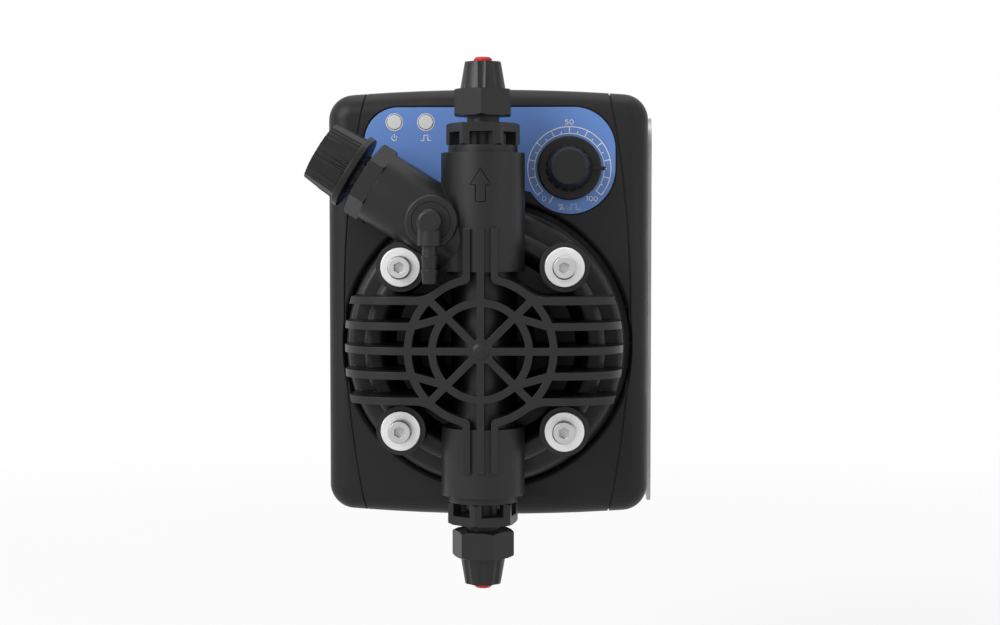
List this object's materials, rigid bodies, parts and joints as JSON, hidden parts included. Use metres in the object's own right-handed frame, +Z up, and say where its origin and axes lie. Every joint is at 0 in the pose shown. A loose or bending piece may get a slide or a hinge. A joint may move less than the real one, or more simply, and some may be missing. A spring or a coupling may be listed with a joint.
{
  "type": "diaphragm metering pump",
  "caption": "Solenoid diaphragm metering pump with a ribbed head, stroke-rate dial, check valves, screw bleed valve and hose-nut ports, hung on a wall bracket.",
  "frame": {"origin": "centre of the wall bracket's four holes on the wall face, straight behind the centre of the pump head", "axes": "+Z up along the ports' axis, +Y into the wall, +X to the right seen from the front"},
  "size_m": [0.1054, 0.1289, 0.1588],
  "materials": {
    "case_plastic": "fine moulded texture, near black",
    "head_plastic": "glass-filled polypropylene, satin black",
    "knob_plastic": "satin black",
    "label_blue": "printed polyester film, satin",
    "lamp_grey": "unlit lens",
    "plug_red": "soft polyethylene",
    "stainless": "machined",
    "bracket_metal": "fine brushed sheet",
    "steel": "turned",
    "copper": "enamelled winding wire",
    "bobbin_plastic": "natural polyamide",
    "board_green": "coated board",
    "elastomer": "smooth moulded rubber",
    "ptfe": "waxy white",
    "ceramic": "polished",
    "bronze": "sintered"
  },
  "bodies": {
    "pump": {"wall_bracket": "bracket_metal", "rear_housing": "case_plastic", "case_gasket": "elastomer", "front_cover": "case_plastic", "case_screws": "stainless", "bracket_screws": "stainless", "board_screws": "stainless", "gland_body": "case_plastic", "gland_seal": "elastomer", "gland_locknut": "case_plastic", "front_label": "label_blue", "lamp_lenses": "lamp_grey", "control_board": "board_green", "potentiometer": "knob_plastic", "pump_head": "head_plastic", "head_washers": "stainless", "head_screws": "stainless", "support_ring": "head_plastic", "diaphragm": "ptfe", "drive_plate": "steel", "solenoid_yoke": "steel", "coil_bobbin": "bobbin_plastic", "solenoid_coil": "copper", "pole_piece": "steel", "shaft_bush": "bronze", "armature_bumper": "elastomer", "return_spring": "steel", "discharge_seat": "elastomer", "discharge_valve": "head_plastic", "discharge_oring": "elastomer", "discharge_nut": "head_plastic", "discharge_ferrule": "head_plastic", "suction_cage": "head_plastic", "suction_seat": "elastomer", "suction_valve": "head_plastic", "suction_oring": "elastomer", "suction_nut": "head_plastic", "suction_ferrule": "head_plastic", "bleed_bush": "head_plastic"},
    "plunger": {"armature": "steel", "armature_shaft": "steel", "diaphragm_insert": "steel"},
    "dial": {"dial_knob": "knob_plastic", "dial_shaft": "steel"},
    "bleed_spindle": {"bleed_needle": "head_plastic", "bleed_oring": "elastomer"},
    "bleed_handle": {"bleed_knob": "knob_plastic"},
    "bleed_outlet": {"bleed_elbow": "head_plastic", "elbow_oring": "elastomer"},
    "discharge_check": {"discharge_ball": "ceramic"},
    "suction_check": {"suction_ball": "ceramic"},
    "discharge_cap": {"discharge_plug": "plug_red"},
    "suction_cap": {"suction_plug": "plug_red"}
  },
  "joints": [
    {"name": "stroke", "type": "slide", "parent": "pump", "child": "plunger", "axis": [0, -1, 0], "range_m": [0, 0.001], "stiffness_N_per_m": 3000, "springref_m": -0.002, "deforming": ["return_spring", "diaphragm"]},
    {"name": "rate_dial", "type": "hinge", "parent": "pump", "child": "dial", "pos_m": [0.0255, -0.09, 0.0545], "axis": [0, 1, 0], "range_deg": [-241, 39]},
    {"name": "bleed_travel", "type": "slide", "parent": "pump", "child": "bleed_spindle", "axis": [-0.8499, 0, 0.527], "range_m": [0, 0.0015]},
    {"name": "bleed_turn", "type": "hinge", "parent": "bleed_spindle", "child": "bleed_handle", "pos_m": [0, -0.109, 0.029], "axis": [-0.8499, 0, 0.527], "range_deg": [0, 360]},
    {"name": "elbow_swivel", "type": "hinge", "parent": "pump", "child": "bleed_outlet", "pos_m": [-0.0146, -0.121, 0.038], "axis": [0, 1, 0], "continuous": true},
    {"name": "discharge_lift", "type": "slide", "parent": "pump", "child": "discharge_check", "axis": [0, 0, 1], "range_m": [0, 0.0012]},
    {"name": "suction_lift", "type": "slide", "parent": "pump", "child": "suction_check", "axis": [0, 0, 1], "range_m": [0, 0.0012]},
    {"name": "discharge_unplug", "type": "slide", "parent": "pump", "child": "discharge_cap", "axis": [0, 0, 1], "range_m": [0, 0.01]},
    {"name": "suction_unplug", "type": "slide", "parent": "pump", "child": "suction_cap", "axis": [0, 0, -1], "range_m": [0, 0.01]}
  ],
  "couplings": [
    {"joint": "bleed_travel", "follows": "bleed_turn", "m_per_rad": 0.00023871}
  ]
}
